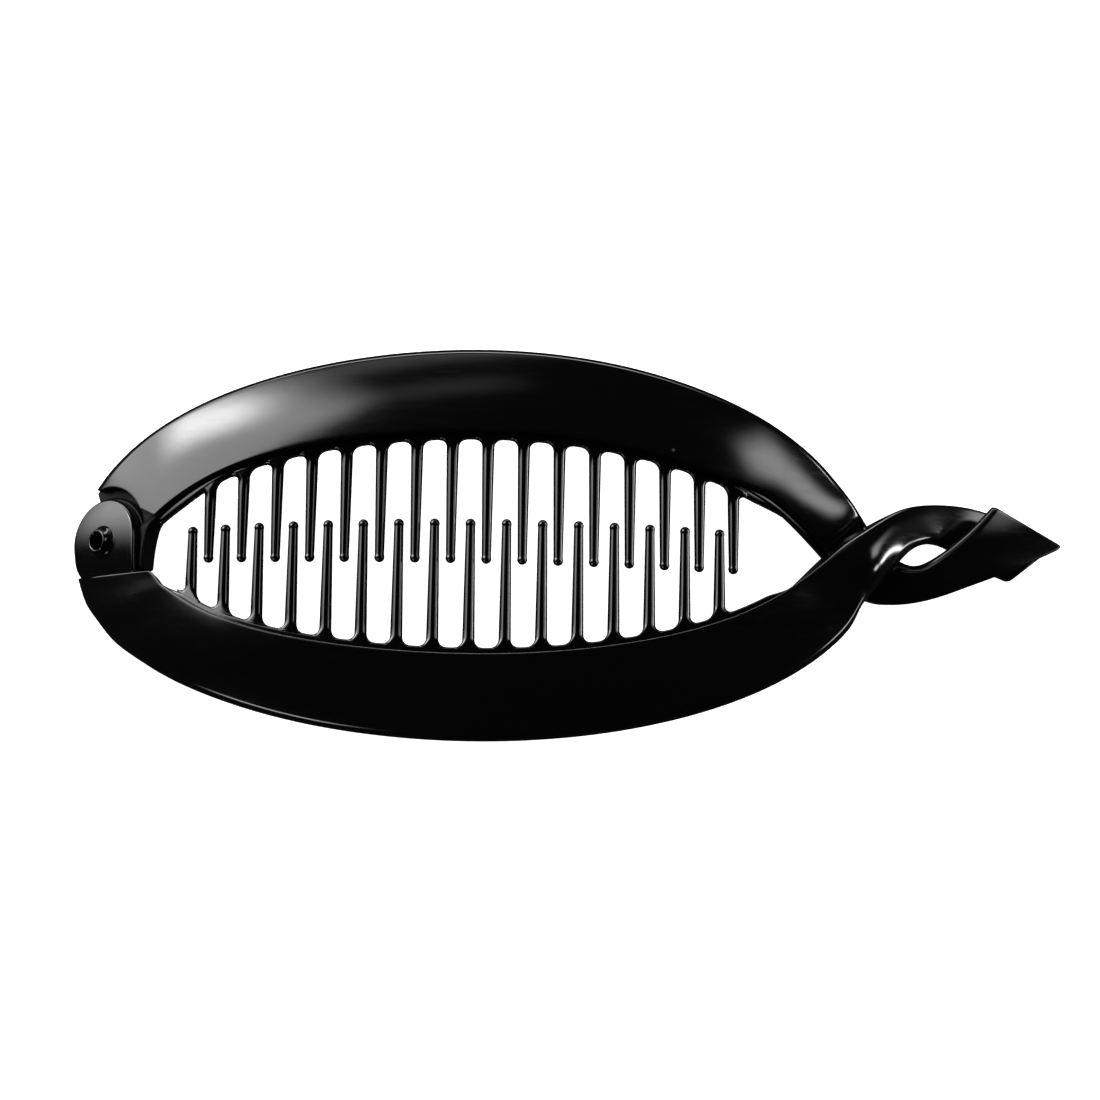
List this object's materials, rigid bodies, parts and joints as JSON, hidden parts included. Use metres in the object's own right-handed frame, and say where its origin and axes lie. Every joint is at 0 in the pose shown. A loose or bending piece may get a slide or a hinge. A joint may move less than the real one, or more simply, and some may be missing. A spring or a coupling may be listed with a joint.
{
  "type": "interlocking comb hair clip",
  "caption": "Arched banana hair clip: two comb arms hinged on a hollow pin at one end, their interleaved teeth grip hair, twisted tails lock the other end.",
  "frame": {"origin": "centre of the bounding box's bottom face, with the closed clip lying convex face up on a table", "axes": "+X from the hinge to the locking tails, +Y towards the arm that lies behind the other at the first tail crossing, +Z out of the convex face"},
  "size_m": [0.1634, 0.0629, 0.024],
  "materials": {
    "black_moulded_plastic": "glossy injection-moulded black plastic",
    "black_pin_plastic": "glossy black plastic"
  },
  "bodies": {
    "lower_arm": {"lower_band": "black_moulded_plastic", "lower_comb": "black_moulded_plastic", "lower_clasp_tail": "black_moulded_plastic", "lower_hinge_cheek": "black_moulded_plastic", "hinge_pin": "black_pin_plastic"},
    "upper_arm": {"upper_band": "black_moulded_plastic", "upper_comb": "black_moulded_plastic", "upper_clasp_tail": "black_moulded_plastic", "upper_hinge_tongue": "black_moulded_plastic"}
  },
  "joints": [
    {"name": "arm_hinge", "type": "hinge", "parent": "lower_arm", "child": "upper_arm", "pos_m": [-0.07607, 0.00115, 0.00802], "axis": [-0.6144, 0, 0.789], "range_deg": [0, 90], "deforming": ["upper_clasp_tail", "lower_clasp_tail"]}
  ]
}
